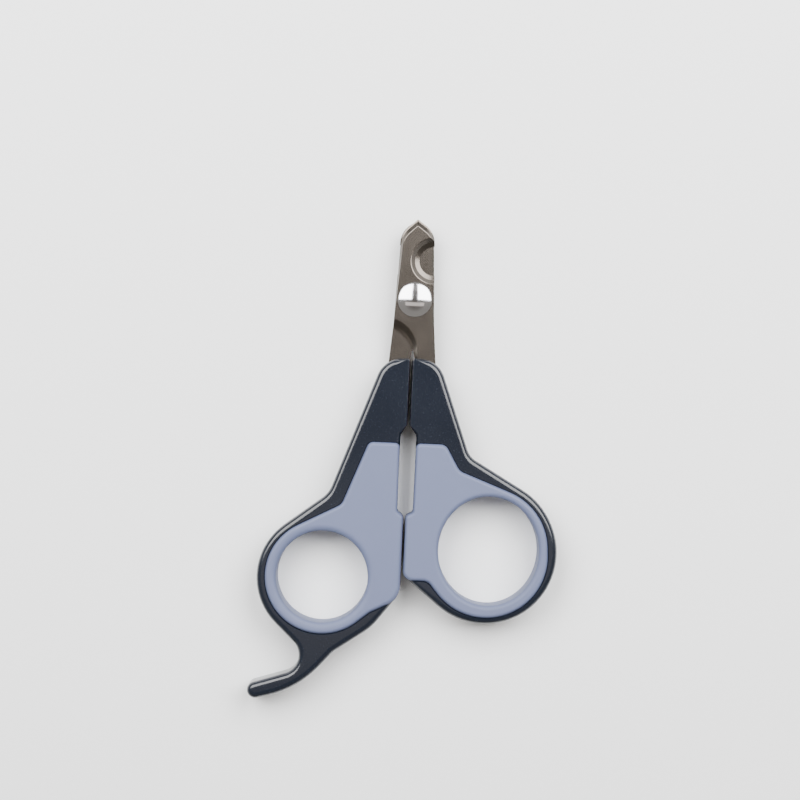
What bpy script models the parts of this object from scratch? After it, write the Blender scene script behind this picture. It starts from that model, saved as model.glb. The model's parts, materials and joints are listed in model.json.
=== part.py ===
"""Scissor-type pet nail clipper, closed and lying flat on its grips.

Two crossed steel blades turn on a rivet. Each blade's tang is moulded into a hard
handle frame, and a soft grip wraps the frame's web and lines its finger loop.
Sizes are in millimetres up to the point where a mesh is made. Outlines are drawn
in the closed tool's plan, with the rivet at (0, 0) and the blade tips towards +Y.
"""

import math
from collections import namedtuple

import bmesh
import bpy
from mathutils import Matrix

MM = 0.001

# The pivot axis stands here in the part's own frame.
PIVOT_X = -0.36
PIVOT_Y = 40.1

# Heights above the table.
MIDDLE = 4.8
GRIP_LOW, GRIP_HIGH = 0.0, 9.6
FRAME_LOW, FRAME_HIGH = 0.4, 9.2
GRIP_ROUNDING = 1.1
FRAME_ROUNDING = 1.4

# Moulded fit between a grip and its frame, and the thickness of the soft layer.
FIT = 0.3
SOFT_WALL = 1.3
SOFT_FACE = 1.5

# Blades.
BLADE_THICKNESS = 1.6
BLADE_PLAY = 0.1
GRIND = 0.9
NOTCH_X, NOTCH_Y = 4.35, 9.75
NOTCH_EDGE_RADIUS, NOTCH_BEVEL_RADIUS = 3.65, 5.85
NOTCH_LAND = 0.2
LOCK_X, LOCK_Y, LOCK_RADIUS = 4.7, -25.2, 1.3

# Rivet and its washer.
SHANK_RADIUS, BORE_RADIUS = 2.2, 2.5
DOME_RADIUS, DOME_HEIGHT = 4.3, 1.2
TAIL_RADIUS, TAIL_HEIGHT = 3.1, 0.9
WASHER_RADIUS, WASHER_THICKNESS = 3.9, 0.6

# Finger loops: centre and half widths of each hole.
LEFT_HOLE = (-19.85, -69.2, 11.2, 11.1)
RIGHT_HOLE = (20.9, -61.1, 12.3, 13.2)

ARC_STEP = math.radians(12)

# An outline runs counterclockwise round circles, as a belt runs round pulleys.
# side is +1 where the belt bends round material and -1 where it bends into it.
# soft scales the edge rounding there.
Turn = namedtuple("Turn", "x y radius side soft")
OUT, IN = 1, -1

BLADE = [
    Turn(-0.1, 19.7, 0.2, OUT, 1),
    Turn(1.5, 13.8, 5.65, OUT, 1),
    Turn(-4.75, -6.8, 0.3, OUT, 1),
    Turn(-8.2, -15.2, 8.7, IN, 1),
    Turn(4.0, -31.4, 0.8, OUT, 1),
    Turn(6.3, -31.4, 0.8, OUT, 1),
    Turn(15.5, -5.2, 10.5, IN, 1),
    Turn(-1.4, 13.9, 5.7, OUT, 1),
]
# The same outline round the outer face, drawn in where the tip and the shoulder are ground.
BLADE_FACE = [
    Turn(-0.05, 17.9, 0.2, OUT, 1),
    Turn(2.0, 12.4, 5.6, OUT, 1),
    Turn(-4.65, -4.7, 0.3, OUT, 1),
    Turn(-6.8, -12.75, 8.0, IN, 1),
    *BLADE[4:7],
    Turn(-1.3, 12.4, 5.4, OUT, 1),
]

LEFT_FRAME_OUTLINE = [
    Turn(-1.15, -15.35, 0.65, OUT, 0.3),
    Turn(-2.1, -21.4, 6.7, OUT, 1),
    Turn(-25.0, -44.5, 7.0, IN, 1),
    Turn(-20.0, -69.7, 16.0, OUT, 1),
    Turn(-29.4, -89.2, 4.7, IN, 1),
    Turn(-35.1, -98.1, 2.0, OUT, 1),
    Turn(-38.5, -75.1, 25.1, OUT, 1),
    Turn(-12.5, -92.0, 5.6, IN, 1),
    Turn(-18.0, -70.0, 15.6, OUT, 1),
    Turn(-5.5, -71.0, 5.0, OUT, 0.6),
    Turn(-1.65, -54.2, 1.15, OUT, 0.55),
    Turn(-1.0, -52.0, 1.0, IN, 0.55),
    Turn(-1.2, -33.8, 0.8, IN, 0.55),
    Turn(-1.6, -30.8, 1.1, OUT, 0.3),
]
RIGHT_FRAME_OUTLINE = [
    Turn(0.75, -15.25, 0.65, OUT, 0.3),
    Turn(1.2, -30.8, 1.1, OUT, 0.3),
    Turn(1.05, -33.8, 0.8, IN, 0.55),
    Turn(0.85, -52.0, 1.0, IN, 0.55),
    Turn(1.25, -54.2, 1.15, OUT, 0.55),
    Turn(2.4, -67.1, 2.3, OUT, 0.6),
    Turn(20.1, -61.6, 17.8, OUT, 1),
    Turn(20.3, -60.9, 17.2, OUT, 1),
    Turn(19.0, -35.1, 4.6, IN, 1),
    Turn(2.0, -21.1, 6.5, OUT, 1),
]
LEFT_GRIP_OUTLINE = [
    Turn(-3.3, -36.8, 1.2, OUT, 0.8),
    Turn(-8.5, -37.4, 1.8, OUT, 0.8),
    Turn(-18.2, -49.2, 3.0, IN, 0.8),
    Turn(-19.85, -69.4, 14.1, OUT, 0.8),
    Turn(-6.4, -79.7, 2.4, IN, 0.8),
    Turn(-5.5, -71.0, 5.0, OUT, 1),
    Turn(-1.65, -54.2, 1.15, OUT, 0.7),
    Turn(-1.0, -52.0, 1.0, IN, 0.7),
]
RIGHT_GRIP_OUTLINE = [
    Turn(3.1, -36.7, 1.2, OUT, 0.8),
    Turn(0.85, -52.0, 1.0, IN, 0.7),
    Turn(1.25, -54.2, 1.15, OUT, 0.7),
    Turn(2.4, -67.1, 2.3, OUT, 0.8),
    Turn(5.0, -72.1, 2.7, IN, 0.8),
    Turn(20.4, -62.6, 15.2, OUT, 0.8),
    Turn(20.3, -60.8, 15.2, OUT, 0.8),
    Turn(15.0, -39.4, 3.0, IN, 0.8),
    Turn(8.0, -37.7, 2.2, OUT, 0.8),
]


def headings(turns):
    """The belt's direction on its straight run from each circle to the next one."""
    found = []
    for here, ahead in zip(turns, turns[1:] + turns[:1]):
        across, along = ahead.x - here.x, ahead.y - here.y
        lift = (ahead.side * ahead.radius - here.side * here.radius) / math.hypot(across, along)
        found.append(math.atan2(along, across) - math.asin(lift))
    return found


def sweep(turn, before, after):
    """The angle that the belt bends through at one circle, signed like its side."""
    angle = math.remainder(after - before, 2 * math.pi)
    if angle * turn.side < -1e-6:
        angle += 2 * math.pi * turn.side
    return angle


def arc_counts(turns):
    """How many steps each circle's arc is drawn in."""
    runs = headings(turns)
    return [
        max(1, math.ceil(abs(sweep(turn, runs[i - 1], runs[i])) / ARC_STEP))
        for i, turn in enumerate(turns)
    ]


def inset(turns, depth):
    """The outline moved into the material by depth, a tight corner staying a corner."""
    runs = headings(turns)
    moved = []
    for i, turn in enumerate(turns):
        shift = depth * turn.soft
        if turn.side == IN:
            moved.append(turn._replace(radius=max(turn.radius + shift, 0.1)))
            continue
        grow = max(0.0, shift + 0.15 - turn.radius)
        before, after = runs[i - 1], runs[i]
        share = grow / (1 + math.cos(after - before))
        moved.append(
            turn._replace(
                x=turn.x - share * (math.sin(before) + math.sin(after)),
                y=turn.y + share * (math.cos(before) + math.cos(after)),
                radius=turn.radius + grow - shift,
            )
        )
    return moved


def evenly(turns):
    """The same circles, all taking a full share of an inset."""
    return [turn._replace(soft=1) for turn in turns]


def belt_points(turns, counts):
    """The outline's points, each circle's arc drawn in its own count of steps."""
    runs = headings(turns)
    points = []
    for i, (turn, count) in enumerate(zip(turns, counts)):
        angle = sweep(turn, runs[i - 1], runs[i])
        for step in range(count + 1):
            heading = runs[i - 1] + angle * step / count
            reach = turn.radius * turn.side
            points.append((turn.x + reach * math.sin(heading), turn.y - reach * math.cos(heading)))
    return points


def oval_points(centre_x, centre_y, half_x, half_y, count):
    """Points round an oval hole."""
    angles = [2 * math.pi * i / count for i in range(count)]
    return [(centre_x + half_x * math.cos(a), centre_y + half_y * math.sin(a)) for a in angles]


def round_section(low, high, rounding, levels=2):
    """(depth, height) pairs up the side of a plate whose two edges are rounded."""
    turns = [i * math.pi / 2 / levels for i in range(levels + 1)]
    lower = [(rounding * (1 - math.sin(a)), low + rounding * (1 - math.cos(a))) for a in turns]
    upper = [(depth, low + high - height) for depth, height in reversed(lower)]
    return lower + upper


def outline_rings(turns, section):
    """One ring of (x, y, z) points for each level of the section."""
    counts = arc_counts(turns)
    return [
        [(x, y, height) for x, y in belt_points(inset(turns, depth), counts)]
        for depth, height in section
    ]


def hole_rings(hole, section, count=32):
    """The rings of a hole whose edges are rounded by the same section."""
    centre_x, centre_y, half_x, half_y = hole
    rings = []
    for depth, height in section:
        points = oval_points(centre_x, centre_y, half_x + depth, half_y + depth, count)
        rings.append([(x, y, height) for x, y in points])
    return rings


def add_wall(mesh, rings):
    """Bridges the rings in turn and gives back the edges of the first and the last."""
    loops = []
    for ring in rings:
        corners = [mesh.verts.new([value * MM for value in point]) for point in ring]
        pairs = zip(corners, corners[1:] + corners[:1])
        loops.append([mesh.edges.new(pair) for pair in pairs])
    for lower, upper in zip(loops, loops[1:]):
        bmesh.ops.bridge_loops(mesh, edges=lower + upper)
    return loops[0], loops[-1]


def plate_mesh(name, walls):
    """A closed plate: its outer wall, then the walls of its holes, with flat faces between."""
    mesh = bmesh.new()
    ends = [add_wall(mesh, rings) for rings in walls]
    for level in (0, 1):
        edges = [edge for end in ends for edge in end[level]]
        bmesh.ops.triangle_fill(mesh, edges=edges, use_beauty=True)
    bmesh.ops.recalc_face_normals(mesh, faces=mesh.faces)
    data = bpy.data.meshes.new(name)
    mesh.to_mesh(data)
    mesh.free()
    return data


def shade(data):
    """Smooth shading that keeps the hard edges."""
    data.shade_smooth()
    data.set_sharp_from_angle(angle=math.radians(38))


def add_object(name, data, collection, parent):
    """Puts a mesh in the scene under its half of the tool."""
    piece = bpy.data.objects.new(name, data)
    collection.objects.link(piece)
    piece.parent = parent
    return piece


def add_turned(name, profile, collection, parent, steps=36):
    """A turned shape: a profile run down its outer side, closed by a Screw modifier."""
    data = bpy.data.meshes.new(name)
    points = [(radius * MM, 0, height * MM) for radius, height in profile]
    data.from_pydata(points, [(i, i + 1) for i in range(len(points) - 1)], [])
    piece = add_object(name, data, collection, parent)
    screw = piece.modifiers.new("turn", "SCREW")
    screw.steps = steps
    screw.render_steps = steps
    screw.use_merge_vertices = True
    screw.merge_threshold = 0.00001
    screw.use_smooth_shade = True
    return piece


def cut(piece, cutter):
    """Takes the cutter's volume out of the piece."""
    cutter.hide_render = True
    cutter.display_type = "WIRE"
    boolean = piece.modifiers.new("cut_" + cutter.name, "BOOLEAN")
    boolean.operation = "DIFFERENCE"
    boolean.solver = "EXACT"
    boolean.object = cutter


def turn_over(piece):
    """Turns a blade-shaped piece over about the tool's middle, face down."""
    piece.matrix_basis = Matrix.Translation((0, 0, 2 * MIDDLE * MM)) @ Matrix.Rotation(math.pi, 4, "Y")


def linear(level):
    """One colour channel from its 0 to 255 value to linear light."""
    value = level / 255
    return value / 12.92 if value <= 0.04045 else ((value + 0.055) / 1.055) ** 2.4


def finish(piece, name, colour, roughness, metallic=0.0):
    """Gives the piece its own Principled material."""
    material = bpy.data.materials.new(name)
    material.use_nodes = True
    shader = material.node_tree.nodes["Principled BSDF"]
    shader.inputs["Base Color"].default_value = [linear(level) for level in colour] + [1]
    shader.inputs["Roughness"].default_value = roughness
    shader.inputs["Metallic"].default_value = metallic
    piece.data.materials.append(material)


def steel_finish(piece):
    finish(piece, piece.name + "_satin_steel", (150, 142, 134), 0.32, 1.0)


def chrome_finish(piece):
    finish(piece, piece.name + "_polished", (215, 216, 220), 0.08, 1.0)


def hard_plastic_finish(piece):
    finish(piece, piece.name + "_navy_plastic", (40, 48, 62), 0.35)


def soft_grip_finish(piece):
    finish(piece, piece.name + "_soft_grey_blue", (160, 168, 190), 0.6)


def make_notch_cutter(name, collection, parent):
    """The nail notch: a short land at the cutting edge, then a cone to the outer face."""
    inner = MIDDLE + BLADE_PLAY
    outer = inner + BLADE_THICKNESS
    slope = (NOTCH_BEVEL_RADIUS - NOTCH_EDGE_RADIUS) / (BLADE_THICKNESS - NOTCH_LAND)
    profile = [
        (0, outer + 1),
        (NOTCH_BEVEL_RADIUS + slope, outer + 1),
        (NOTCH_EDGE_RADIUS, inner + NOTCH_LAND),
        (NOTCH_EDGE_RADIUS, inner - 1),
        (0, inner - 1),
    ]
    cutter = add_turned(name, profile, collection, parent, steps=48)
    cutter.location = (NOTCH_X * MM, NOTCH_Y * MM, 0)
    return cutter


def make_blade(name, parts, cutters, parent):
    """One stamped blade with its tang, its bore, its lock hole and its ground notch."""
    inner = MIDDLE + BLADE_PLAY
    outer = inner + BLADE_THICKNESS
    counts = arc_counts(BLADE)
    body, face = belt_points(BLADE, counts), belt_points(BLADE_FACE, counts)
    rings = [
        [(x, y, inner) for x, y in body],
        [(x, y, outer - GRIND) for x, y in body],
        [(x, y, outer) for x, y in face],
    ]
    section = [(0, inner), (0, outer)]
    bore = hole_rings((0, 0, BORE_RADIUS, BORE_RADIUS), section, 28)
    lock = hole_rings((LOCK_X, LOCK_Y, LOCK_RADIUS, LOCK_RADIUS), section, 16)
    piece = add_object(name, plate_mesh(name, [rings, bore, lock]), parts, parent)
    cut(piece, make_notch_cutter(name + "_notch", cutters, parent))
    shade(piece.data)
    steel_finish(piece)
    return piece


def make_slot_cutter(name, cutters, parent):
    """The tang's slot in a handle frame, which leaves a peg through the lock hole."""
    low = MIDDLE + BLADE_PLAY - FIT
    high = MIDDLE + BLADE_PLAY + BLADE_THICKNESS + FIT
    section = [(-FIT, low), (-FIT, high)]
    peg = LOCK_RADIUS - FIT
    walls = [
        outline_rings(BLADE, section),
        hole_rings((LOCK_X, LOCK_Y, peg, peg), [(0, low), (0, high)], 16),
    ]
    return add_object(name, plate_mesh(name, walls), cutters, parent)


def web_mesh(name, outline, hole, extra):
    """The frame's web, inside the soft layer: extra is the fit added all round it."""
    low = GRIP_LOW + SOFT_FACE + FIT / 2 - extra
    high = GRIP_HIGH - SOFT_FACE - FIT / 2 + extra
    depth = SOFT_WALL + FIT / 2 - extra
    section = [(depth, low), (depth, high)]
    return plate_mesh(name, [outline_rings(evenly(outline), section), hole_rings(hole, section)])


def make_grip(name, grip_outline, frame_outline, hole, parts, cutters, parent):
    """One soft grip: a rounded skin over both faces, the inner edge and the loop."""
    section = round_section(GRIP_LOW, GRIP_HIGH, GRIP_ROUNDING)
    walls = [outline_rings(grip_outline, section), hole_rings(hole, section)]
    piece = add_object(name, plate_mesh(name, walls), parts, parent)
    thick_web = web_mesh(name + "_web", frame_outline, hole, FIT / 2)
    cut(piece, add_object(name + "_web", thick_web, cutters, parent))
    shade(piece.data)
    soft_grip_finish(piece)
    return piece


def make_frame(name, frame_outline, grip_outline, hole, slot, parts, cutters, parent):
    """One hard frame: rounded rim, a thinner web under the grip, and the tang's slot."""
    section = round_section(FRAME_LOW, FRAME_HIGH, FRAME_ROUNDING)
    wide = [(0, FRAME_LOW), (0, FRAME_HIGH)]
    walls = [outline_rings(frame_outline, section), hole_rings(hole, wide)]
    piece = add_object(name, plate_mesh(name, walls), parts, parent)
    tall = [(-FIT, FRAME_LOW - 1), (-FIT, FRAME_HIGH + 1)]
    open_hole = hole_rings(hole, [(-1, FRAME_LOW - 1), (-1, FRAME_HIGH + 1)])
    skin_mesh = plate_mesh(name + "_skin", [outline_rings(evenly(grip_outline), tall), open_hole])
    skin = add_object(name + "_skin", skin_mesh, cutters, parent)
    thin_web = web_mesh(name + "_web", frame_outline, hole, -FIT / 2)
    cut(skin, add_object(name + "_web", thin_web, cutters, parent))
    cut(piece, skin)
    cut(piece, slot)
    shade(piece.data)
    hard_plastic_finish(piece)
    return piece


def make_rivet(name, parts, parent):
    """The pivot rivet: a domed head, a shank through both blades and an upset tail."""
    head = MIDDLE + BLADE_PLAY + BLADE_THICKNESS + FIT / 2
    tail = MIDDLE - BLADE_PLAY - BLADE_THICKNESS - FIT - WASHER_THICKNESS
    sphere = (DOME_RADIUS**2 + DOME_HEIGHT**2) / (2 * DOME_HEIGHT)
    reach = math.asin(DOME_RADIUS / sphere)
    dome = [
        (sphere * math.sin(reach * i / 7), head + DOME_HEIGHT - sphere * (1 - math.cos(reach * i / 7)))
        for i in range(8)
    ]
    profile = dome + [
        (SHANK_RADIUS, head),
        (SHANK_RADIUS, tail),
        (TAIL_RADIUS, tail),
        (TAIL_RADIUS * 0.9, tail - TAIL_HEIGHT * 0.55),
        (TAIL_RADIUS * 0.6, tail - TAIL_HEIGHT * 0.9),
        (0, tail - TAIL_HEIGHT),
    ]
    piece = add_turned(name, profile, parts, parent)
    chrome_finish(piece)
    return piece


def make_washer(name, parts, parent):
    """The plain washer under the rivet's tail."""
    high = MIDDLE - BLADE_PLAY - BLADE_THICKNESS - FIT / 2
    low = high - WASHER_THICKNESS
    edge = 0.15
    profile = [
        (BORE_RADIUS, high),
        (WASHER_RADIUS - edge, high),
        (WASHER_RADIUS, high - edge),
        (WASHER_RADIUS, low + edge),
        (WASHER_RADIUS - edge, low),
        (BORE_RADIUS, low),
        (BORE_RADIUS, high),
    ]
    piece = add_turned(name, profile, parts, parent)
    chrome_finish(piece)
    return piece


def add_half(name, collection):
    """An empty on the pivot axis, which carries one half of the tool."""
    half = bpy.data.objects.new(name, None)
    half.location = (PIVOT_X * MM, PIVOT_Y * MM, 0)
    collection.objects.link(half)
    return half


def clear_scene():
    for leftover in list(bpy.data.objects):
        bpy.data.objects.remove(leftover, do_unlink=True)


def build():
    clear_scene()
    parts = bpy.data.collections.new("pet_nail_clipper")
    cutters = bpy.data.collections.new("cutters")
    bpy.context.scene.collection.children.link(parts)
    bpy.context.scene.collection.children.link(cutters)
    left, right = add_half("left_half", parts), add_half("right_half", parts)

    make_blade("front_blade", parts, cutters, right)
    rear = make_blade("rear_blade", parts, cutters, left)
    turn_over(rear)
    bpy.data.objects["rear_blade_notch"].matrix_basis = rear.matrix_basis @ Matrix.Translation(
        (NOTCH_X * MM, NOTCH_Y * MM, 0)
    )

    right_slot = make_slot_cutter("right_slot", cutters, right)
    left_slot = make_slot_cutter("left_slot", cutters, left)
    turn_over(left_slot)
    make_frame(
        "right_frame", RIGHT_FRAME_OUTLINE, RIGHT_GRIP_OUTLINE, RIGHT_HOLE, right_slot, parts, cutters, right
    )
    make_frame(
        "left_frame", LEFT_FRAME_OUTLINE, LEFT_GRIP_OUTLINE, LEFT_HOLE, left_slot, parts, cutters, left
    )
    make_grip("right_grip", RIGHT_GRIP_OUTLINE, RIGHT_FRAME_OUTLINE, RIGHT_HOLE, parts, cutters, right)
    make_grip("left_grip", LEFT_GRIP_OUTLINE, LEFT_FRAME_OUTLINE, LEFT_HOLE, parts, cutters, left)
    make_rivet("pivot_rivet", parts, left)
    make_washer("rivet_washer", parts, left)


build()
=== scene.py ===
"""Scissor-type pet nail clipper: the fine visual model, its finishes and its studio.

Sizes are in millimetres in the closed tool's plan, with the rivet at (0, 0) and the
blade tips towards +Y, until a finished mesh is moved to its place in metres.
"""

import json
import logging
import math
from collections.abc import Callable, Sequence
from dataclasses import dataclass, field, replace
from enum import Enum

import bmesh
import bpy
from mathutils import Matrix, Vector


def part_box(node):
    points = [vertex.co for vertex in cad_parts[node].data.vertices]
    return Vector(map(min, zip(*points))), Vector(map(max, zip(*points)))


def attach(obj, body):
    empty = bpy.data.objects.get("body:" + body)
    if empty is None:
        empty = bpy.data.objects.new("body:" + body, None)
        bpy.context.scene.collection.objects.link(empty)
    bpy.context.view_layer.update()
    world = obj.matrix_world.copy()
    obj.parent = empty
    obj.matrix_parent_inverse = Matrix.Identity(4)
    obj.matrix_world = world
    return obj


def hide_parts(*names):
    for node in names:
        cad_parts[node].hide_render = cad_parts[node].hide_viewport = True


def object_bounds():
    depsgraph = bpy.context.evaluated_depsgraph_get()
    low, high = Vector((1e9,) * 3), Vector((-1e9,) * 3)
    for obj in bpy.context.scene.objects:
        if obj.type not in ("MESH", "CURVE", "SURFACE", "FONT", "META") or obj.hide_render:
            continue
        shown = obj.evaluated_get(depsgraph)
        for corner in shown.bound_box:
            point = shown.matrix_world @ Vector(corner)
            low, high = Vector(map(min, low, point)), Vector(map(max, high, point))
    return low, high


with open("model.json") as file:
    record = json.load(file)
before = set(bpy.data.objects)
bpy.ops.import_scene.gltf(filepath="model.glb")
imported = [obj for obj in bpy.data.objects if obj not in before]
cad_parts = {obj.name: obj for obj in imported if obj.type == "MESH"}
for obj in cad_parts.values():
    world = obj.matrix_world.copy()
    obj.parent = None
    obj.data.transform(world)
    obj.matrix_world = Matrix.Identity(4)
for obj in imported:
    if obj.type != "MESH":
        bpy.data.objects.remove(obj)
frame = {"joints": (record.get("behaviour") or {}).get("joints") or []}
CAD_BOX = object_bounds()

LOG = logging.getLogger("nail_clipper")
MM = 0.001
LEAST_RADIUS = 0.05

# How level a blade's face lies, from 0 on a side wall to 1 on a flat: a side wall is
# below UPRIGHT, a ground bevel below SHALLOW, a honed one below FLAT.
UPRIGHT, SHALLOW, FLAT = 0.15, 0.88, 0.985
# How many times its rim's width and rise the notch's cutter reaches past the flat.
NOTCH_CLEAR = 4

Edges = list[bmesh.types.BMEdge]
Section = list[tuple[float, float]]


class Bend(Enum):
    """Which way an outline bends round one of its circles."""

    OUT = 1
    IN = -1


class Side(Enum):
    """The two handles, named by where they lie with the dome facing up."""

    LEFT = "left"
    RIGHT = "right"


class Cut(Enum):
    """How a face of a blade was made, counted as its material slots are; the ground and honed slots also
    carry a paler steel as painted highlight.
    """

    STAMPED = 0
    GROUND = 1
    HONED = 2


class Layer(Enum):
    """The two faces that a stamped blade can turn to the dome."""

    FRONT = "front"
    REAR = "rear"


# --- shader arithmetic -------------------------------------------------------------


class Wire:
    """One value inside a material, which adds, scales and compares like a number."""

    def __init__(self, board: "Board", socket: bpy.types.NodeSocket) -> None:
        """Wraps a socket.

        Args:
            board: The material's node board.
            socket: The output that holds the value.
        """
        self.board = board
        self.socket = socket

    def _math(self, operation: str, first: "Wire | float", second: "Wire | float") -> "Wire":
        """One Math node on two values."""
        return self.board.node("ShaderNodeMath", {"operation": operation}, {0: first, 1: second})

    def __add__(self, other: "Wire | float") -> "Wire":
        """This value plus another."""
        return self._math("ADD", self, other)

    def __radd__(self, other: float) -> "Wire":
        """A number plus this value."""
        return self._math("ADD", other, self)

    def __sub__(self, other: "Wire | float") -> "Wire":
        """This value less another."""
        return self._math("SUBTRACT", self, other)

    def __rsub__(self, other: float) -> "Wire":
        """A number less this value."""
        return self._math("SUBTRACT", other, self)

    def __mul__(self, other: "Wire | float") -> "Wire":
        """This value times another."""
        return self._math("MULTIPLY", self, other)

    def __rmul__(self, other: float) -> "Wire":
        """A number times this value."""
        return self._math("MULTIPLY", other, self)

    def __pow__(self, other: "Wire | float") -> "Wire":
        """This value to a power."""
        return self._math("POWER", self, other)

    def above(self, low: float, high: float) -> "Wire":
        """A smooth mask.

        Args:
            low: The value at which the mask leaves 0.
            high: The value at which it reaches 1.

        Returns:
            The mask, eased at both ends.
        """
        settings = {"interpolation_type": "SMOOTHSTEP"}
        return self.board.node("ShaderNodeMapRange", settings, {"Value": self, 1: low, 2: high})


class Board:
    """The nodes of one material, round its Principled shader."""

    def __init__(self, name: str) -> None:
        """Starts a material.

        Args:
            name: The material's name.
        """
        self.material = bpy.data.materials.new(name)
        self.material.use_nodes = True
        self.tree = self.material.node_tree
        self.shader = self.tree.nodes["Principled BSDF"]

    def feed(self, target: bpy.types.NodeSocket, value: "Wire | float | Sequence[float]") -> None:
        """Sets a socket, or links it to a wire."""
        if isinstance(value, Wire):
            self.tree.links.new(value.socket, target)
        else:
            target.default_value = value

    def node(
        self,
        kind: str,
        settings: dict[str, object],
        sockets: "dict[str | int, Wire | float | Sequence[float]]",
        output: str | int = 0,
    ) -> Wire:
        """Adds one node.

        Args:
            kind: The node's type.
            settings: Its properties, set before its sockets. "stops" holds a ramp's stops.
            sockets: Its inputs, by name or number, as values or wires.
            output: The output that the node gives back.

        Returns:
            A wire on that output.
        """
        made = self.tree.nodes.new(kind)
        for key, value in settings.items():
            if key == "stops":
                self.set_stops(made.color_ramp.elements, value)
            else:
                setattr(made, key, value)
        for key, value in sockets.items():
            self.feed(made.inputs[key], value)
        return Wire(self, made.outputs[output])

    @staticmethod
    def set_stops(
        elements: bpy.types.ColorRampElements, stops: Sequence[tuple[float, Sequence[float]]]
    ) -> None:
        """Gives a ramp its stops, in order."""
        while len(elements) < len(stops):
            elements.new(0.5)
        for element, (position, colour) in zip(elements, stops):
            element.position = position
            element.color = colour

    def place(self, stretch: Sequence[float] = (1, 1, 1), turn: float = 0.0) -> Wire:
        """The piece's own coordinates.

        Args:
            stretch: The factor along X, Y and Z.
            turn: A turn about Z, in degrees.

        Returns:
            A wire on the placed vector.
        """
        spot = self.node("ShaderNodeTexCoord", {}, {}, "Object")
        sockets = {"Vector": spot, "Rotation": (0, 0, math.radians(turn)), "Scale": stretch}
        return self.node("ShaderNodeMapping", {}, sockets)

    def noise(self, scale: float, detail: float = 2.0, spot: Wire | None = None, rough: float = 0.5) -> Wire:
        """Cloudy noise from 0 to 1 at so many features a metre."""
        sockets = {"Vector": spot or self.place(), "Scale": scale, "Detail": detail, "Roughness": rough}
        return self.node("ShaderNodeTexNoise", {}, sockets, "Fac")

    def mix(self, share: Wire, first: "Wire | Sequence[float]", second: "Wire | Sequence[float]") -> Wire:
        """Blends two colours by a share from 0 to 1."""
        settings = {"data_type": "RGBA", "clamp_factor": True}
        return self.node("ShaderNodeMix", settings, {0: share, 6: first, 7: second}, 2)

    def bump(self, height: Wire, depth: float, strength: float = 1.0) -> Wire:
        """A bump of a real depth in metres."""
        sockets = {"Height": height, "Distance": depth, "Strength": strength}
        return self.node("ShaderNodeBump", {}, sockets, "Normal")

    def dress(self, **sockets: "Wire | float | Sequence[float]") -> bpy.types.Material:
        """Feeds the Principled shader.

        Args:
            **sockets: Its inputs, with _ for each space in a name.

        Returns:
            The finished material.
        """
        for key, value in sockets.items():
            self.feed(self.shader.inputs[key.replace("_", " ")], value)
        return self.material


def tint(red: float, green: float, blue: float) -> tuple[float, float, float, float]:
    """A colour given by 0 to 255 screen levels, as linear light."""
    levels = [level / 255 for level in (red, green, blue)]
    bright = [v / 12.92 if v <= 0.04045 else ((v + 0.055) / 1.055) ** 2.4 for v in levels]
    return (*bright, 1.0)


# --- finishes ----------------------------------------------------------------------


@dataclass(frozen=True)
class SatinSteel:
    """Stainless steel with a fine grain along the blade and a warm grey cast."""

    name: str = "satin_blade_steel"
    pale: tuple[float, float, float] = (101, 95, 89)
    deep: tuple[float, float, float] = (93, 87, 81)
    roughness: float = 0.2
    grain_turn: float = 0.0

    def material(self) -> bpy.types.Material:
        """Builds the steel: long streaks, soft clouds and a few fine scratches."""
        board = Board(self.name)
        streaks = board.noise(1.0, 3.0, board.place((9000, 260, 9000), self.grain_turn), 0.55)
        clouds = board.noise(160, 2.0)
        scratch = board.noise(1.0, 2.0, board.place((2600, 90, 2600), self.grain_turn + 21)).above(0.68, 0.76)
        colour = board.mix(streaks * 0.5 + clouds * 0.5, tint(*self.deep), tint(*self.pale))
        rough = self.roughness + streaks * 0.04 + clouds * 0.05 + scratch * 0.04
        return board.dress(
            Base_Color=colour,
            Metallic=1.0,
            Roughness=rough,
            Normal=board.bump(streaks + scratch * 0.5, 0.0000004),
        )


@dataclass(frozen=True)
class PolishedSteel:
    """A near mirror with hairline polishing marks."""

    name: str = "polished_rivet_steel"
    colour: tuple[float, float, float] = (226, 226, 230)
    roughness: float = 0.09

    def material(self) -> bpy.types.Material:
        """Builds the polish: a clean metal whose gloss varies a little."""
        board = Board(self.name)
        haze = board.noise(420, 3.0)
        lines = board.noise(1.0, 3.0, board.place((3800, 300, 3800), 35)).above(0.62, 0.8)
        grey = [level * 0.9 for level in self.colour]
        return board.dress(
            Base_Color=board.mix(haze * 0.5 + lines * 0.3, tint(*self.colour), tint(*grey)),
            Metallic=1.0,
            Roughness=self.roughness + haze * 0.05 + lines * 0.06,
        )


@dataclass(frozen=True)
class NavyPlastic:
    """Hard dark navy moulding with a fine pale speckle in its gloss."""

    name: str = "navy_hard_plastic"
    base: tuple[float, float, float] = (20, 25, 35)
    deep: tuple[float, float, float] = (15, 20, 29)
    speck: tuple[float, float, float] = (44, 52, 68)
    roughness: float = 0.15

    def material(self) -> bpy.types.Material:
        """Builds the plastic: mottled navy, specks and a fine moulded texture."""
        board = Board(self.name)
        mottle = board.noise(90, 3.0)
        fine = board.noise(3600, 2.0)
        specks = board.noise(2600, 1.0).above(0.64, 0.76)
        body = board.mix(mottle, tint(*self.deep), tint(*self.base))
        return board.dress(
            Base_Color=board.mix(specks * 0.3, body, tint(*self.speck)),
            Roughness=self.roughness + mottle * 0.04 + specks * 0.06,
            Normal=board.bump(fine, 0.000012),
        )


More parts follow.
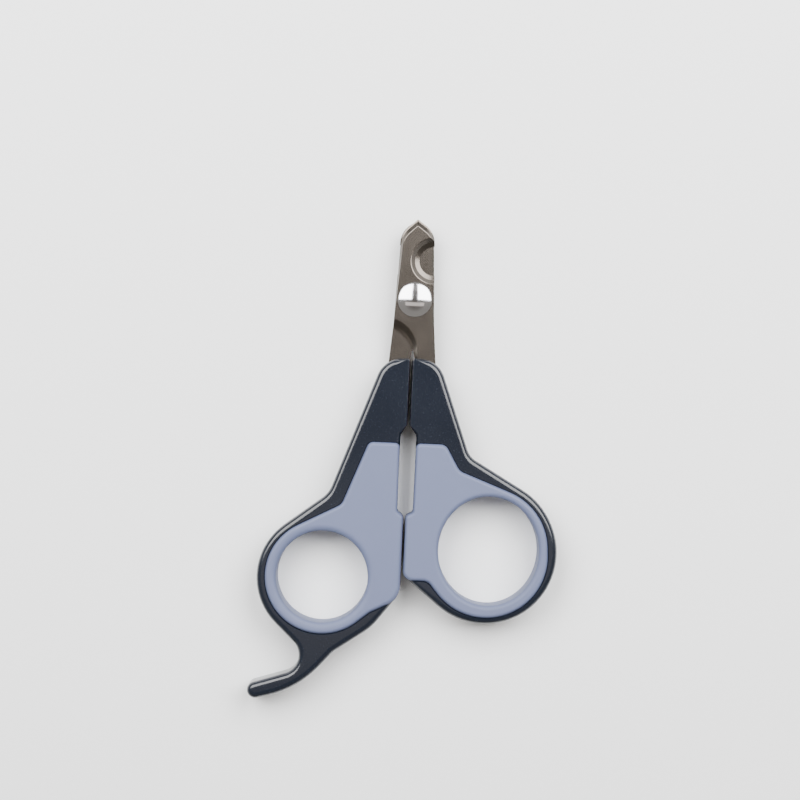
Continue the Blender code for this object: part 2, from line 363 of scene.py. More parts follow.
@dataclass(frozen=True)
class SoftGrip:
    """Matte blue-grey soft overmoulding."""

    name: str = "blue_grey_soft_grip"
    base: tuple[float, float, float] = (91, 99, 127)
    shade: tuple[float, float, float] = (85, 93, 121)
    roughness: float = 0.52

    def material(self) -> bpy.types.Material:
        """Builds the rubber: faint clouds of colour and a sueded surface."""
        board = Board(self.name)
        clouds = board.noise(70, 3.0)
        suede = board.noise(4200, 3.0)
        rubbed = board.noise(260, 4.0).above(0.5, 0.75)
        return board.dress(
            Base_Color=board.mix(clouds * 0.7 + suede * 0.3, tint(*self.shade), tint(*self.base)),
            Roughness=self.roughness + suede * 0.12 - rubbed * 0.06,
            Normal=board.bump(suede, 0.000014),
        )


@dataclass(frozen=True)
class StudioFloor:
    """A plain pale table."""

    name: str = "pale_table"
    colour: tuple[float, float, float] = (246, 247, 248)

    def material(self) -> bpy.types.Material:
        """Builds the table: near white with a trace of paper tone."""
        board = Board(self.name)
        fibre = board.noise(900, 3.0)
        darker = [level - 3 for level in self.colour]
        return board.dress(Base_Color=board.mix(fibre, tint(*self.colour), tint(*darker)), Roughness=0.75)


# --- outlines and lofts ------------------------------------------------------------


@dataclass(frozen=True)
class Pulley:
    """One circle that an outline bends round, and its share of the edge rounding."""

    x: float
    y: float
    radius: float
    bend: Bend = Bend.OUT
    soft: float = 1.0

    @property
    def reach(self) -> float:
        """The radius, negative where the outline bends into the material."""
        return self.radius * self.bend.value

    def point(self, heading: float) -> tuple[float, float]:
        """Where the outline touches the circle while it runs in a direction."""
        return self.x + self.reach * math.sin(heading), self.y - self.reach * math.cos(heading)


@dataclass(frozen=True)
class Outline:
    """A closed outline that runs counterclockwise round its pulleys, like a belt."""

    pulleys: tuple[Pulley, ...]
    arc_step: float = math.radians(4.5)
    run_step: float = 1.6

    def headings(self) -> list[float]:
        """The direction of the straight run after each pulley."""
        found = []
        for here, ahead in zip(self.pulleys, self.pulleys[1:] + self.pulleys[:1]):
            across, along = ahead.x - here.x, ahead.y - here.y
            lift = (ahead.reach - here.reach) / math.hypot(across, along)
            found.append(math.atan2(along, across) - math.asin(lift))
        return found

    @staticmethod
    def sweep(pulley: Pulley, before: float, after: float) -> float:
        """The signed angle that the outline bends through at a pulley."""
        angle = math.remainder(after - before, 2 * math.pi)
        if angle * pulley.bend.value < -1e-6:
            angle += 2 * math.pi * pulley.bend.value
        return angle

    def counts(self) -> list[tuple[int, int]]:
        """The steps in each pulley's arc and the cuts in the straight run after it."""
        runs = self.headings()
        found = []
        for i, pulley in enumerate(self.pulleys):
            ahead = self.pulleys[(i + 1) % len(self.pulleys)]
            steps = math.ceil(abs(self.sweep(pulley, runs[i - 1], runs[i])) / self.arc_step)
            leave, meet = Vector(pulley.point(runs[i])), Vector(ahead.point(runs[i]))
            found.append((max(1, steps), int((meet - leave).length / self.run_step)))
        return found

    def inset(self, depth: float) -> "Outline":
        """The outline moved into the material.

        Args:
            depth: How far, times each pulley's soft share. Negative moves it out.

        Returns:
            The moved outline, whose tight corners stay corners.
        """
        runs = self.headings()
        moved = []
        for i, pulley in enumerate(self.pulleys):
            shift = depth * pulley.soft
            if pulley.bend is Bend.IN:
                moved.append(replace(pulley, radius=max(pulley.radius + shift, LEAST_RADIUS)))
                continue
            grow = max(0.0, shift + LEAST_RADIUS - pulley.radius)
            share = grow / (1 + math.cos(runs[i] - runs[i - 1]))
            moved.append(
                replace(
                    pulley,
                    x=pulley.x - share * (math.sin(runs[i - 1]) + math.sin(runs[i])),
                    y=pulley.y + share * (math.cos(runs[i - 1]) + math.cos(runs[i])),
                    radius=pulley.radius + grow - shift,
                )
            )
        return replace(self, pulleys=tuple(moved))

    def towards(self, other: "Outline", share: float) -> "Outline":
        """The outline part of the way to another one with as many pulleys.

        Args:
            other: The outline at a share of 1.
            share: How far to go.

        Returns:
            The outline in between.
        """
        between = [
            replace(
                here,
                x=here.x + (there.x - here.x) * share,
                y=here.y + (there.y - here.y) * share,
                radius=here.radius + (there.radius - here.radius) * share,
            )
            for here, there in zip(self.pulleys, other.pulleys)
        ]
        return replace(self, pulleys=tuple(between))

    def even(self) -> "Outline":
        """The same outline with a full share of any inset all round."""
        return replace(self, pulleys=tuple(replace(pulley, soft=1.0) for pulley in self.pulleys))

    def draw(self, mesh: bmesh.types.BMesh, height: float, counts: list[tuple[int, int]]) -> Edges:
        """Spins each arc from its first point and joins the arcs by straight runs.

        Args:
            mesh: The mesh to draw in.
            height: The height of the loop.
            counts: The steps and cuts that every loop of one wall shares.

        Returns:
            The loop's edges.
        """
        runs = self.headings()
        known = set(mesh.edges)
        starts = []
        lasts = []
        for i, pulley in enumerate(self.pulleys):
            steps, cuts = counts[i]
            bend = self.sweep(pulley, runs[i - 1], runs[i])
            first = mesh.verts.new((*pulley.point(runs[i - 1]), height))
            centre = (pulley.x, pulley.y, height)
            last = self.extend(mesh, first, centre, bend, Vector(), steps)
            if cuts:
                ahead = self.pulleys[(i + 1) % len(self.pulleys)]
                leave, meet = Vector(pulley.point(runs[i])), Vector(ahead.point(runs[i]))
                last = self.extend(mesh, last, centre, 0.0, ((meet - leave) / (cuts + 1)).to_3d(), cuts)
            starts.append(first)
            lasts.append(last)
        for last, first in zip(lasts, starts[1:] + starts[:1]):
            mesh.edges.new((last, first))
        return [edge for edge in mesh.edges if edge not in known]

    @staticmethod
    def extend(
        mesh: bmesh.types.BMesh,
        start: bmesh.types.BMVert,
        centre: Sequence[float],
        angle: float,
        move: Vector,
        steps: int,
    ) -> bmesh.types.BMVert:
        """Spins a point into an arc, or into a straight run where it only moves.

        Args:
            mesh: The mesh to draw in.
            start: The point to spin.
            centre: The centre of the arc.
            angle: The arc's signed angle.
            move: The shift that each step adds.
            steps: The number of steps.

        Returns:
            The last point.
        """
        spun = bmesh.ops.spin(
            mesh, geom=[start], cent=centre, axis=(0, 0, 1), dvec=move, angle=angle, steps=steps
        )
        return next(item for item in spun["geom_last"] if isinstance(item, bmesh.types.BMVert))


@dataclass(frozen=True)
class Hole:
    """An oval hole through a plate, with its share of the edge rounding."""

    x: float
    y: float
    half_x: float
    half_y: float
    soft: float = 1.0
    count: int = 96

    def draw(self, mesh: bmesh.types.BMesh, height: float, depth: float) -> Edges:
        """Draws the hole's loop at a height, opened out by depth."""
        ring = bmesh.ops.create_circle(mesh, radius=1.0, segments=self.count)["verts"]
        opened = depth * self.soft
        size = Matrix.Diagonal((self.half_x + opened, self.half_y + opened, 1, 1))
        bmesh.ops.transform(mesh, matrix=Matrix.Translation((self.x, self.y, height)) @ size, verts=ring)
        return list({edge for corner in ring for edge in corner.link_edges})


def round_section(low: float, high: float, wide: float, tall: float, steps: int = 7) -> Section:
    """The (depth, height) levels up a plate's rounded side.

    Args:
        low: The height of the lower face.
        high: The height of the upper face.
        wide: How far the rounding reaches into each face.
        tall: How far it reaches down the side.
        steps: The steps in each quarter.

    Returns:
        The levels from the lower face to the upper face.
    """
    turns = [i * math.pi / 2 / steps for i in range(steps + 1)]
    lower = [(wide * (1 - math.sin(a)), low + tall * (1 - math.cos(a))) for a in turns]
    return lower + [(depth, low + high - height) for depth, height in reversed(lower)]


Draw = Callable[[bmesh.types.BMesh, float, float], Edges]


def outline_drawer(outline: Outline) -> Draw:
    """A drawer of one outline's loops, all with the same number of points."""
    counts = outline.counts()
    return lambda mesh, height, depth: outline.inset(depth).draw(mesh, height, counts)


def hole_drawer(hole: Hole) -> Draw:
    """A drawer of one hole's loops."""
    return lambda mesh, height, depth: hole.draw(mesh, height, depth)


def plate(walls: Sequence[tuple[Draw, Section]], lip: float = 0.0) -> bmesh.types.BMesh:
    """A closed plate.

    Args:
        walls: The outer wall first, then the walls of the holes, each with its section.
        lip: The width of a border inside each flat face, which keeps its shading flat.

    Returns:
        The mesh, with flat upper and lower faces between the walls.
    """
    mesh = bmesh.new()
    lowest: Edges = []
    highest: Edges = []
    for draw, section in walls:
        loops = [draw(mesh, height, depth) for depth, height in section]
        for lower, upper in zip(loops, loops[1:]):
            bmesh.ops.bridge_loops(mesh, edges=lower + upper)
        lowest += loops[0]
        highest += loops[-1]
    caps = [bmesh.ops.triangle_fill(mesh, edges=rim, use_beauty=True)["geom"] for rim in (lowest, highest)]
    bmesh.ops.recalc_face_normals(mesh, faces=mesh.faces)
    for cap in caps if lip else ():
        flat = [item for item in cap if isinstance(item, bmesh.types.BMFace)]
        bmesh.ops.inset_region(mesh, faces=flat, thickness=lip, use_even_offset=True)
    return mesh


def turned(profile: Sequence[tuple[float, float]], steps: int = 96) -> bmesh.types.BMesh:
    """Spins a profile of (radius, height) points about the Z axis into a closed solid."""
    mesh = bmesh.new()
    points = [mesh.verts.new((radius, 0, height)) for radius, height in profile]
    line = [mesh.edges.new(pair) for pair in zip(points, points[1:])]
    whole = {"cent": (0, 0, 0), "axis": (0, 0, 1), "angle": 2 * math.pi}
    bmesh.ops.spin(mesh, geom=points + line, steps=steps, use_merge=True, **whole)
    bmesh.ops.remove_doubles(mesh, verts=mesh.verts, dist=0.00001)
    bmesh.ops.recalc_face_normals(mesh, faces=mesh.faces)
    return mesh


def carve(body: bmesh.types.BMesh, cutters: Sequence[bmesh.types.BMesh]) -> bpy.types.Mesh:
    """Cuts solids out of a body.

    Args:
        body: The mesh to cut, which is freed.
        cutters: The solids to take out, which are freed.

    Returns:
        The cut mesh.
    """
    helpers = []
    for solid in (body, *cutters):
        data = bpy.data.meshes.new("blank")
        solid.to_mesh(data)
        solid.free()
        helper = bpy.data.objects.new("blank", data)
        bpy.context.scene.collection.objects.link(helper)
        helpers.append(helper)
    for cutter in helpers[1:]:
        boolean = helpers[0].modifiers.new("cut", "BOOLEAN")
        boolean.operation = "DIFFERENCE"
        boolean.solver = "EXACT"
        boolean.object = cutter
    graph = bpy.context.evaluated_depsgraph_get()
    result = bpy.data.meshes.new_from_object(helpers[0].evaluated_get(graph))
    for helper in helpers:
        bpy.data.objects.remove(helper, do_unlink=True)
    return result


def reopened(data: bpy.types.Mesh) -> bmesh.types.BMesh:
    """A finished mesh as a bmesh again, for one more cut."""
    mesh = bmesh.new()
    mesh.from_mesh(data)
    return mesh


@dataclass(frozen=True)
class Place:
    """Where the tool stands: its pivot axis in the part's own frame, in metres."""

    x: float
    y: float

    def settle(self, mesh: bmesh.types.BMesh) -> None:
        """Moves a mesh from the plan in millimetres to its place in metres."""
        to_place = Matrix.Translation((self.x, self.y, 0)) @ Matrix.Scale(MM, 4)
        bmesh.ops.transform(mesh, matrix=to_place, verts=mesh.verts)

    def show(
        self,
        name: str,
        data: bpy.types.Mesh,
        materials: Sequence[bpy.types.Material],
        node: str,
        body: str,
        crease: float = 32.0,
    ) -> bpy.types.Object:
        """Puts a finished piece on its body, in place of its plain solid.

        Args:
            name: The piece's name.
            data: Its mesh, in the plan in millimetres.
            materials: Its finishes, in slot order.
            node: The plain solid that it stands for.
            body: The half of the tool that carries it.
            crease: The angle from which an edge stays sharp, in degrees.

        Returns:
            The piece.
        """
        mesh = reopened(data)
        self.settle(mesh)
        mesh.to_mesh(data)
        mesh.free()
        data.materials.clear()
        for material in materials:
            data.materials.append(material)
        data.shade_smooth()
        data.set_sharp_from_angle(angle=math.radians(crease))
        piece = bpy.data.objects.new(name, data)
        bpy.context.scene.collection.objects.link(piece)
        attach(piece, body)
        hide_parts(node)
        LOG.info("%s: %d faces, rides on %s", name, len(data.polygons), body)
        return piece


# --- sub-assemblies ----------------------------------------------------------------


@dataclass
class Blade:
    """A stamped blade with a ground tip, a bevelled nail notch, a bore and a tang."""

    layer: Layer
    low: float
    high: float
    middle: float
    notch_x: float = 4.35
    notch_y: float = 9.75
    notch_edge: float = 3.65
    notch_step: float = 4.75
    notch_bevel: float = 5.85
    notch_land: float = 0.18
    notch_rise: float = 0.45
    notch_rim: float = 0.18
    grind: float = 0.95
    hollow_wide: float = 0.25
    hollow_rise: float = 0.12
    rim_wide: float = 0.1
    rim_rise: float = 0.05
    bore: float = 2.5
    lock: tuple[float, float, float] = (4.7, -25.2, 1.3)
    edge_break: float = 0.07
    crease: float = 12.0
    outline: Outline = Outline(
        (
            Pulley(-0.1, 19.7, 0.2),
            Pulley(1.5, 13.8, 5.65),
            Pulley(-4.75, -6.8, 0.3),
            Pulley(-8.2, -15.2, 8.7, Bend.IN),
            Pulley(4.0, -31.4, 0.8),
            Pulley(6.3, -31.4, 0.8),
            Pulley(15.5, -5.2, 10.5, Bend.IN),
            Pulley(-1.4, 13.9, 5.7),
        ),
        math.radians(3),
        2.0,
    )

    def face_outline(self) -> Outline:
        """The outline of the outer flat, drawn in at the ground tip and the ground shoulder."""
        drawn_in = (
            Pulley(-0.05, 17.9, 0.2),
            Pulley(2.0, 12.4, 5.6),
            Pulley(-4.65, -4.7, 0.3),
            Pulley(-6.8, -12.75, 8.0, Bend.IN),
            *self.outline.pulleys[4:7],
            Pulley(-1.3, 12.4, 5.4),
        )
        return replace(self.outline, pulleys=drawn_in)

    def body(self) -> bmesh.types.BMesh:
        """The stamping before its notch is ground, outer face up."""
        counts = self.outline.counts()
        face = self.face_outline()

        def draw(mesh: bmesh.types.BMesh, height: float, share: float) -> Edges:
            """Draws the outline part of the way from the full one to the outer flat's."""
            return self.outline.towards(face, share).draw(mesh, height, counts)

        crest = self.high - self.grind
        wall = [
            (0.0, self.low),
            (0.0, crest),
            (self.hollow_wide, crest + self.hollow_rise),
            (1.0 - self.rim_wide, self.high - self.rim_rise),
            (1.0, self.high),
        ]
        through = [(0.0, self.low), (0.0, self.high)]
        x, y, radius = self.lock
        holes = (Hole(0, 0, self.bore, self.bore, count=64), Hole(x, y, radius, radius, count=48))
        return plate([(draw, wall), *((hole_drawer(hole), through) for hole in holes)])

    def notch(self) -> bmesh.types.BMesh:
        """The grinding cones of the nail notch, with the land behind its honed edge."""
        land = self.low + self.notch_land
        above = self.high + NOTCH_CLEAR * self.rim_rise
        below = self.low - 1
        cone = turned(
            [
                (0, above),
                (self.notch_bevel + NOTCH_CLEAR * self.notch_rim, above),
                (self.notch_bevel - self.notch_rim, self.high - self.rim_rise),
                (self.notch_step, land + self.notch_rise),
                (self.notch_edge, land),
                (self.notch_edge, below),
                (0, below),
            ],
            160,
        )
        bmesh.ops.translate(cone, vec=(self.notch_x, self.notch_y, 0), verts=cone.verts)
        return cone

    @staticmethod
    def cut_of(face: bmesh.types.BMFace) -> Cut:
        """How a face was made, told by how level it lies, which also gives the ground and honed faces the
        paler steel of their painted highlight.
        """
        level = abs(face.normal.z)
        if not UPRIGHT < level < FLAT:
            return Cut.STAMPED
        return Cut.HONED if level > SHALLOW else Cut.GROUND

    def build(self, place: Place, finishes: dict[Cut, SatinSteel]) -> bpy.types.Object:
        """Builds the blade and puts it on its half.

        Args:
            place: The tool's place.
            finishes: The steel of each kind of face: its real grain and gloss, with a paler tone on the
                ground and honed faces as painted highlight.

        Returns:
            The finished piece.
        """
        data = carve(self.body(), [self.notch()])
        mesh = reopened(data)
        bmesh.ops.dissolve_degenerate(mesh, dist=0.0005, edges=mesh.edges)
        # Each face takes the steel of its tilt, so the ground and honed faces get the paler steel that paints
        # their highlight.
        for face in mesh.faces:
            face.material_index = self.cut_of(face).value
        if self.layer is Layer.REAR:
            over = Matrix.Translation((0, 0, 2 * self.middle)) @ Matrix.Rotation(math.pi, 4, "Y")
            bmesh.ops.transform(mesh, matrix=over, verts=mesh.verts)
        mesh.to_mesh(data)
        mesh.free()
        half = "right_half" if self.layer is Layer.FRONT else "left_half"
        node = f"{self.layer.value}_blade"
        materials = [finishes[cut].material() for cut in Cut]
        piece = place.show(f"{node}_steel", data, materials, node, half, self.crease)
        soften = piece.modifiers.new("edge_break", "BEVEL")
        soften.width = self.edge_break * MM
        soften.segments = 2
        soften.limit_method = "ANGLE"
        soften.angle_limit = math.radians(self.crease)
        return piece


@dataclass
class PivotRivet:
    """The domed rivet that the blades turn on, and the washer under its tail."""

    head_low: float
    head_high: float
    tail_low: float
    washer_low: float
    washer_high: float
    dome_radius: float = 4.3
    shank_radius: float = 2.2
    tail_radius: float = 3.1
    washer_radius: float = 3.9
    washer_bore: float = 2.5
    head_rim: float = 0.25
    rim_top: float = 0.22
    rim_foot: float = 0.06
    undercut: float = 0.08
    tail_rim: float = 0.12
    corner: float = 0.15

    def head_profile(self) -> list[tuple[float, float]]:
        """The dome's profile, from its top down to its rolled rim."""
        rise = self.head_high - self.head_low - self.head_rim
        sphere = (self.dome_radius**2 + rise**2) / (2 * rise)
        reach = math.asin(self.dome_radius / sphere)
        dome = [
            (sphere * math.sin(reach * i / 24), self.head_high - sphere * (1 - math.cos(reach * i / 24)))
            for i in range(24)
        ]
        rim = [(self.dome_radius, self.head_low + height) for height in (self.rim_top, self.rim_foot)]
        return dome + rim + [(self.dome_radius - self.undercut, self.head_low)]

    def rivet(self) -> bmesh.types.BMesh:
        """The rivet: dome, shank and upset tail in one turned piece."""
        top = self.washer_low - self.tail_rim
        tail = [
            (self.tail_radius * math.cos(a), top - (top - self.tail_low) * math.sin(a))
            for a in (math.radians(9 * i) for i in range(10))
        ]
        shank = [(self.shank_radius, self.head_low), (self.shank_radius, self.washer_low)]
        shoulder, end = (self.tail_radius, self.washer_low), (0, self.tail_low)
        return turned([*self.head_profile(), *shank, shoulder, *tail, end])

    def washer(self) -> bmesh.types.BMesh:
        """The plain washer, with its corners broken."""
        rim, bore, low, high = self.washer_radius, self.washer_bore, self.washer_low, self.washer_high
        cut = self.corner
        profile = [
            (bore, high),
            (rim - cut, high),
            (rim - cut / 3, high - cut / 3),
            (rim, high - cut),
            (rim, low + cut),
            (rim - cut / 3, low + cut / 3),
            (rim - cut, low),
            (bore, low),
            (bore, high),
        ]
        return turned(profile)

    def build(self, place: Place, polish: PolishedSteel) -> list[bpy.types.Object]:
        """Builds the rivet and its washer on the left half."""
        made = []
        for name, node, solid in (
            ("rivet_dome_and_shank", "pivot_rivet", self.rivet()),
            ("rivet_tail_washer", "rivet_washer", self.washer()),
        ):
            data = bpy.data.meshes.new(name)
            solid.to_mesh(data)
            solid.free()
            made.append(place.show(name, data, [polish.material()], node, "left_half"))
        return made


@dataclass
class Handle:
    """One handle: a hard frame over the tang and a soft grip that wraps its web."""

    side: Side
    frame_outline: Outline
    grip_outline: Outline
    hole: Hole
    frame_low: float
    frame_high: float
    grip_low: float
    grip_high: float
    seam: float = 0.05
    wall: float = 1.3
    skin: float = 1.5
    frame_round: float = 1.4
    grip_round: float = 1.15
    lip: float = 0.16
    clear: float = 0.5
    frame_border: float = 0.12
    grip_border: float = 0.05

    def web(self, spare: float) -> bmesh.types.BMesh:
        """The frame's web inside the soft layer, grown all round by spare."""
        low, high = self.grip_low + self.skin - spare, self.grip_high - self.skin + spare
        section = [(self.wall - spare, low), (self.wall - spare, high)]
        hole = replace(self.hole, soft=1.0)
        return plate([(outline_drawer(self.frame_outline.even()), section), (hole_drawer(hole), section)])

    def pocket(self) -> bmesh.types.BMesh:
        """The space that the grip fills, flared to a small lip at the frame's faces."""
        below, above = self.frame_low - self.clear, self.frame_high + self.clear
        flare = self.seam + self.lip + self.clear
        section = [
            (-flare, below),
            (-self.seam, self.frame_low + self.lip),
            (-self.seam, self.frame_high - self.lip),
            (-flare, above),
        ]
        inner = hole_drawer(replace(self.hole, soft=1.0))
        past_hole = [(-1.0, below), (-1.0, above)]
        return plate([(outline_drawer(self.grip_outline.even()), section), (inner, past_hole)])

    def hard_frame(self, slot: bmesh.types.BMesh) -> bpy.types.Mesh:
        """The hard frame with its rounded rim, its recessed web and the tang's slot.

        Args:
            slot: The solid that the tang needs, which is freed.

        Returns:
            The frame's mesh in the plan.
        """
        section = round_section(self.frame_low, self.frame_high, self.frame_round, self.frame_round, 9)
        straight = [(0.0, self.frame_low), (0.0, self.frame_high)]
        walls = [(outline_drawer(self.frame_outline), section), (hole_drawer(self.hole), straight)]
        body = plate(walls, self.frame_border)
        recess = reopened(carve(self.pocket(), [self.web(0.0)]))
        return carve(body, [recess, slot])

    def soft_grip(self) -> bpy.types.Mesh:
        """The soft grip: a rounded skin over both faces, the inner edge and the loop."""
        section = round_section(self.grip_low, self.grip_high, self.grip_round, self.grip_round * 0.9, 8)
        walls = [(outline_drawer(self.grip_outline), section), (hole_drawer(self.hole), section)]
        body = plate(walls, self.grip_border)
        return carve(body, [self.web(self.seam)])

    def build(
        self, place: Place, hard: NavyPlastic, soft: SoftGrip, slot: bmesh.types.BMesh
    ) -> list[bpy.types.Object]:
        """Builds the frame and the grip on their half.

        Args:
            place: The tool's place.
            hard: The frame's finish.
            soft: The grip's finish.
            slot: The solid that the tang needs in the frame.

        Returns:
            The two pieces.
        """
        name, body = self.side.value, f"{self.side.value}_half"
        return [
            place.show(f"{name}_hard_frame", self.hard_frame(slot), [hard.material()], f"{name}_frame", body),
            place.show(f"{name}_soft_grip", self.soft_grip(), [soft.material()], f"{name}_grip", body, 40.0),
        ]


LEFT_HOLE = Hole(-19.85, -69.4, 11.3, 11.3, 1.4)
RIGHT_HOLE = Hole(20.9, -61.3, 12.4, 13.4, 1.0)
LEFT_FRAME = Outline(
    (
        Pulley(-1.15, -15.35, 0.65, soft=0.15),
        Pulley(-2.1, -21.4, 6.7),
        Pulley(-25.0, -44.5, 7.0, Bend.IN),
        Pulley(-20.0, -69.7, 16.0),
        Pulley(-29.4, -89.2, 4.7, Bend.IN),
        Pulley(-35.1, -98.1, 2.0),
        Pulley(-38.5, -75.1, 25.1),
        Pulley(-12.5, -92.0, 5.6, Bend.IN),
        Pulley(-18.0, -70.0, 15.6),
        Pulley(-5.5, -71.0, 5.0, soft=0.6),
        Pulley(-1.65, -54.2, 1.15, soft=0.55),
        Pulley(-1.0, -52.0, 1.0, Bend.IN, 0.55),
        Pulley(-1.2, -33.8, 0.8, Bend.IN, 0.55),
        Pulley(-1.6, -30.8, 1.1, soft=0.15),
    )
)
RIGHT_FRAME = Outline(
    (
        Pulley(0.75, -15.25, 0.65, soft=0.15),
        Pulley(1.2, -30.8, 1.1, soft=0.15),
        Pulley(1.05, -33.8, 0.8, Bend.IN, 0.55),
        Pulley(0.85, -52.0, 1.0, Bend.IN, 0.55),
        Pulley(1.25, -54.2, 1.15, soft=0.55),
        Pulley(2.4, -67.1, 2.3, soft=0.6),
        Pulley(20.1, -61.6, 17.72),
        Pulley(20.3, -60.9, 17.2),
        Pulley(19.0, -35.1, 4.6, Bend.IN),
        Pulley(2.0, -21.1, 6.5),
    )
)
LEFT_GRIP = Outline(
    (
        Pulley(-3.3, -36.8, 1.2, soft=0.8),
        Pulley(-8.5, -37.4, 1.8, soft=0.8),
        Pulley(-18.2, -49.2, 3.0, Bend.IN, 0.8),
        Pulley(-19.85, -69.4, 14.1, soft=0.8),
        Pulley(-6.4, -79.7, 2.4, Bend.IN, 0.8),
        Pulley(-5.5, -71.0, 5.0),
        Pulley(-1.65, -54.2, 1.15, soft=0.7),
        Pulley(-1.0, -52.0, 1.0, Bend.IN, 0.7),
    )
)
RIGHT_GRIP = Outline(
    (
        Pulley(3.1, -36.7, 1.2, soft=0.8),
        Pulley(0.85, -52.0, 1.0, Bend.IN, 0.7),
        Pulley(1.25, -54.2, 1.15, soft=0.7),
        Pulley(2.4, -67.1, 2.3, soft=0.8),
        Pulley(5.0, -72.1, 2.7, Bend.IN, 0.8),
        Pulley(20.4, -62.6, 15.2, soft=0.8),
        Pulley(20.3, -60.8, 15.2, soft=0.8),
        Pulley(15.0, -39.4, 3.0, Bend.IN, 0.8),
        Pulley(8.0, -37.7, 2.2, soft=0.8),
    )
)


@dataclass
class Softbox:
    """One level softbox over the table: its four edges and its height in metres, and its glow."""

    name: str
    west: float
    east: float
    south: float
    north: float
    height: float
    glow: float
    colour: tuple[float, float, float] = (1, 1, 1)

    def build(self, target: Vector) -> bpy.types.Object:
        """Hangs the light, its edges measured from a point over the target."""
        data = bpy.data.lights.new(self.name, "AREA")
        data.color = self.colour
        data.shape = "RECTANGLE"
        data.size, data.size_y = self.east - self.west, self.north - self.south
        data.energy = self.glow * math.pi * data.size * data.size_y
        light = bpy.data.objects.new(self.name, data)
        middle = Vector(((self.west + self.east) / 2, (self.south + self.north) / 2, self.height))
        light.location = target + middle
        bpy.context.scene.collection.objects.link(light)
        return light


@dataclass
class Studio:
    """The pale table, the soft lights and the camera over the tool."""

    roll: float = 2.6
    view_wide: float = 0.1968
    lens: float = 85.0
    aim_x: float = -2.57
    aim_y: float = -25.03
    table_half: float = 3.0
    light_north: float = -0.03
    light_rise: float = 0.005
    zenith: tuple[float, float, float] = (96, 90, 84)
    middle: tuple[float, float, float] = (156, 152, 146)
    horizon: tuple[float, float, float] = (222, 224, 226)
    softboxes: list[Softbox] = field(
        default_factory=lambda: [
            Softbox("left_softbox", -0.74, -0.1, 0.06, 0.78, 0.6, 12.6),
            Softbox("right_softbox", 0.1, 0.74, 0.06, 0.78, 0.6, 12.6),
            Softbox("front_fill", -0.34, 0.34, -0.16, -0.04, 0.6, 0.9, (1, 0.9, 0.83)),
        ]
    )

    def floor(self, finish: StudioFloor) -> bpy.types.Object:
        """Lays the table just under the tool."""
        mesh = bmesh.new()
        bmesh.ops.create_grid(mesh, x_segments=1, y_segments=1, size=self.table_half)
        data = bpy.data.meshes.new("table")
        mesh.to_mesh(data)
        mesh.free()
        data.materials.append(finish.material())
        table = bpy.data.objects.new("table", data)
        table.location.z = CAD_BOX[0].z
        bpy.context.scene.collection.objects.link(table)
        return table

    def air(self) -> None:
        """Surrounds the table with a room that is dim overhead and pale low down."""
        world = bpy.data.worlds.new("room")
        world.use_nodes = True
        tree = world.node_tree
        spot = tree.nodes.new("ShaderNodeTexCoord")
        height = tree.nodes.new("ShaderNodeSeparateXYZ")
        shade = tree.nodes.new("ShaderNodeValToRGB")
        stops = [(0.06, self.horizon), (0.3, self.middle), (0.8, self.middle), (0.96, self.zenith)]
        Board.set_stops(shade.color_ramp.elements, [(rise, tint(*colour)) for rise, colour in stops])
        tree.links.new(spot.outputs["Generated"], height.inputs["Vector"])
        tree.links.new(height.outputs["Z"], shade.inputs["Fac"])
        tree.links.new(shade.outputs["Color"], tree.nodes["Background"].inputs["Color"])
        bpy.context.scene.world = world

    def camera(self, place: Place) -> bpy.types.Object:
        """Hangs the camera straight over the tool, rolled a little."""
        data = bpy.data.cameras.new("overhead")
        data.lens = self.lens
        data.sensor_width = 36.0
        camera = bpy.data.objects.new("overhead", data)
        height = self.view_wide * self.lens / data.sensor_width
        camera.location = (place.x + self.aim_x * MM, place.y + self.aim_y * MM, CAD_BOX[1].z + height)
        camera.rotation_euler = (0, 0, math.radians(self.roll))
        bpy.context.scene.collection.objects.link(camera)
        bpy.context.scene.camera = camera
        return camera

    def build(self, place: Place) -> None:
        """Builds the table, the light and the camera."""
        self.floor(StudioFloor())
        self.air()
        target = Vector((place.x, place.y + self.light_north, self.light_rise))
        for softbox in self.softboxes:
            softbox.build(target)
        self.camera(place)


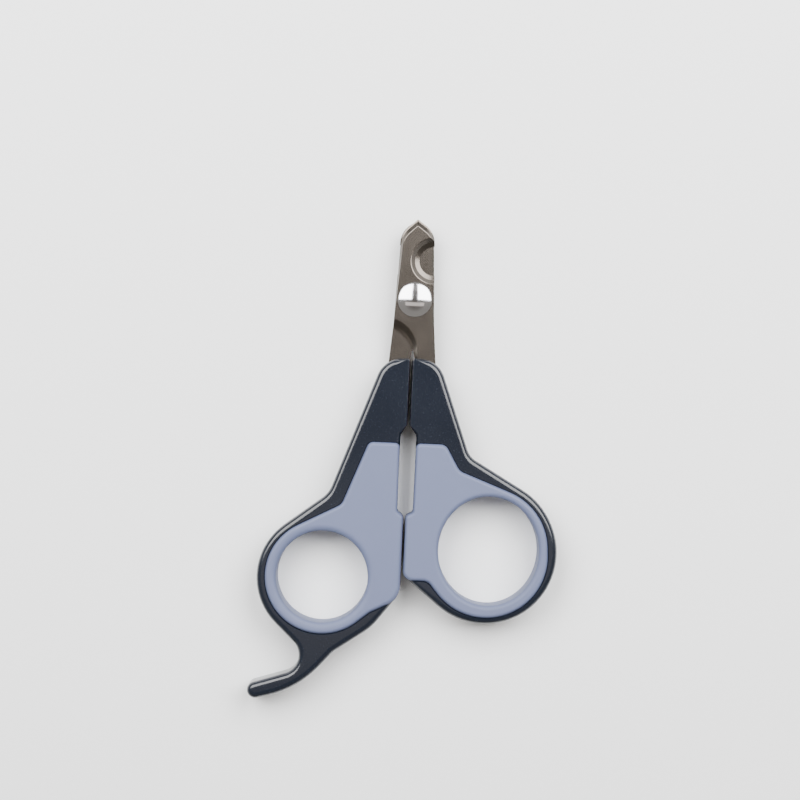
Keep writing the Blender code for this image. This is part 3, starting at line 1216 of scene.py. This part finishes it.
@dataclass
class NailClipper:
    """The whole tool, taken down to its sub-assemblies."""

    place: Place
    tang_room: float = 0.12
    head_gap: float = 0.05

    @staticmethod
    def level(node: str, end: int) -> float:
        """The lowest (0) or highest (1) height of a plain solid, in millimetres."""
        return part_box(node)[end].z / MM

    def blade(self, layer: Layer) -> Blade:
        """One blade, always drawn as the front one lies."""
        low, high = self.level("front_blade", 0), self.level("front_blade", 1)
        middle = (self.level("rear_blade", 0) + high) / 2
        return Blade(layer, low, high, middle)

    def slot(self, side: Side) -> bmesh.types.BMesh:
        """The room that a tang takes in its frame, with the peg left standing."""
        blade = self.blade(Layer.FRONT)
        room = self.tang_room
        x, y, radius = blade.lock
        section = [(-room, blade.low - room), (-room, blade.high + room)]
        peg = Hole(x, y, radius, radius, count=48)
        solid = plate([(outline_drawer(blade.outline), section), (hole_drawer(peg), section)])
        if side is Side.LEFT:
            over = Matrix.Translation((0, 0, 2 * blade.middle)) @ Matrix.Rotation(math.pi, 4, "Y")
            bmesh.ops.transform(solid, matrix=over, verts=solid.verts)
        return solid

    def handle(self, side: Side) -> Handle:
        """One handle, with the heights of its plain solids."""
        left = side is Side.LEFT
        return Handle(
            side,
            LEFT_FRAME if left else RIGHT_FRAME,
            LEFT_GRIP if left else RIGHT_GRIP,
            LEFT_HOLE if left else RIGHT_HOLE,
            self.level(f"{side.value}_frame", 0),
            self.level(f"{side.value}_frame", 1),
            self.level(f"{side.value}_grip", 0),
            self.level(f"{side.value}_grip", 1),
        )

    def build(self) -> None:
        """Builds the blades, the rivet and the two handles."""
        # The ground and honed steels keep their own rougher, turned grain. Their paler tone than the stamped
        # steel is painted highlight on the faces tilted towards the softboxes.
        steels = {
            Cut.STAMPED: SatinSteel(),
            Cut.GROUND: SatinSteel("ground_bevel_steel_and_painted_highlight", (136, 134, 131), (120, 118, 115), 0.35, 90.0),
            Cut.HONED: SatinSteel("honed_edge_steel_and_painted_highlight", (150, 149, 147), (134, 133, 131), 0.22, 60.0),
        }
        for layer in Layer:
            self.blade(layer).build(self.place, steels)
        rivet = PivotRivet(
            self.level("front_blade", 1) + self.head_gap,
            self.level("pivot_rivet", 1),
            self.level("pivot_rivet", 0),
            self.level("rivet_washer", 0),
            self.level("rivet_washer", 1),
        )
        rivet.build(self.place, PolishedSteel())
        for side in Side:
            self.handle(side).build(self.place, NavyPlastic(), SoftGrip(), self.slot(side))


def main() -> None:
    """Builds the tool and its studio."""
    pivot = next(joint for joint in frame["joints"] if joint["name"] == "blade_pivot")
    place = Place(*pivot["pos_m"][:2])
    NailClipper(place).build()
    Studio().build(place)


if __name__ == "__main__":
    logging.basicConfig(level=logging.INFO, format="%(message)s")
    main()
